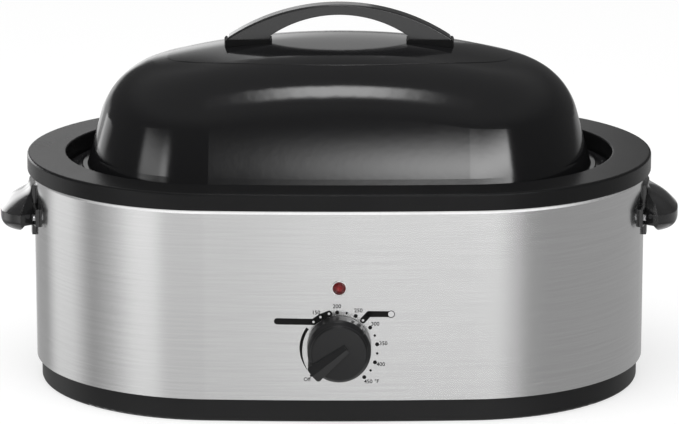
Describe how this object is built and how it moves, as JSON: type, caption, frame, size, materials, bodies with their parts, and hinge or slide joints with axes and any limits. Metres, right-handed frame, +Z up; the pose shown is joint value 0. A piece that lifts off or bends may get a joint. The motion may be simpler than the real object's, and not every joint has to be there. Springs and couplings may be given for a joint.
{
  "type": "electric roaster oven",
  "caption": "Oval countertop roaster oven: steel casing with a dial, side handles, lift-out pan and wire rack under a domed lift-off lid.",
  "frame": {"origin": "middle of the underside, on the surface that the oven stands on", "axes": "+X to the right along the oven, +Y to the back, +Z up; the dial faces -Y"},
  "size_m": [0.613, 0.3798, 0.3418],
  "materials": {
    "steel_wrap": "horizontally brushed, satin",
    "plain_steel": "zinc plated, satin",
    "bright_wire": "polished",
    "black_moulding": "satin black",
    "knob_black": "semi-gloss black",
    "black_enamel": "high gloss black",
    "pan_enamel": "gloss black enamel",
    "well_metal": "satin",
    "reflector": "bright rolled",
    "band_mica": "woven glass fibre over heating wire",
    "blanket": "glass wool",
    "rubber": "matt black",
    "brass": "plain",
    "copper": "drawn copper",
    "phenolic": "brown phenolic",
    "ceramic_white": "white",
    "lens_red": "clear red",
    "bezel": "pale ring"
  },
  "bodies": {
    "casing": {"base_skirt": "black_moulding", "bottom_plate": "plain_steel", "rubber_feet": "rubber", "bottom_screws": "plain_steel", "tie_rods": "plain_steel", "body_shell": "steel_wrap", "rim_ring": "black_moulding", "heating_well": "well_metal", "heating_band": "band_mica", "band_clips": "plain_steel", "insulation_blanket": "blanket", "reflector_tray": "reflector", "thermostat_bracket": "plain_steel", "thermostat_body": "phenolic", "bush_nut": "brass", "sensing_bulb": "copper", "bulb_strap": "plain_steel", "thermal_cutout": "ceramic_white", "lamp_lens": "lens_red", "lamp_bezel": "bezel", "lamp_holder": "black_moulding", "cord_gland": "rubber", "terminal_block": "ceramic_white", "side_handle_right": "black_moulding", "side_handle_left": "black_moulding", "handle_bracket_right": "black_moulding", "handle_bracket_left": "black_moulding", "side_handle_screws": "plain_steel", "side_handle_nuts": "plain_steel"},
    "pan": {"roasting_pan": "pan_enamel"},
    "rack": {"roasting_rack": "bright_wire", "rack_handles": "bright_wire"},
    "lid": {"lid_shell": "black_enamel", "lid_handle": "black_moulding", "lid_handle_pads": "rubber", "lid_handle_washers": "plain_steel", "lid_handle_screws": "plain_steel"},
    "dial": {"control_knob": "knob_black", "thermostat_shaft": "brass", "knob_spring_ring": "plain_steel"}
  },
  "joints": [
    {"name": "pan_lift", "type": "slide", "parent": "casing", "child": "pan", "axis": [0, 0, 1], "range_m": [0, 0.18]},
    {"name": "rack_lift", "type": "slide", "parent": "pan", "child": "rack", "axis": [0, 0, 1], "range_m": [0, 0.16]},
    {"name": "lid_lift", "type": "slide", "parent": "rack", "child": "lid", "axis": [0, 0, 1], "range_m": [0, 0.15]},
    {"name": "dial_turn", "type": "hinge", "parent": "casing", "child": "dial", "pos_m": [0, -0.17, 0.0701], "axis": [0, 1, 0], "range_deg": [0, 270]}
  ]
}
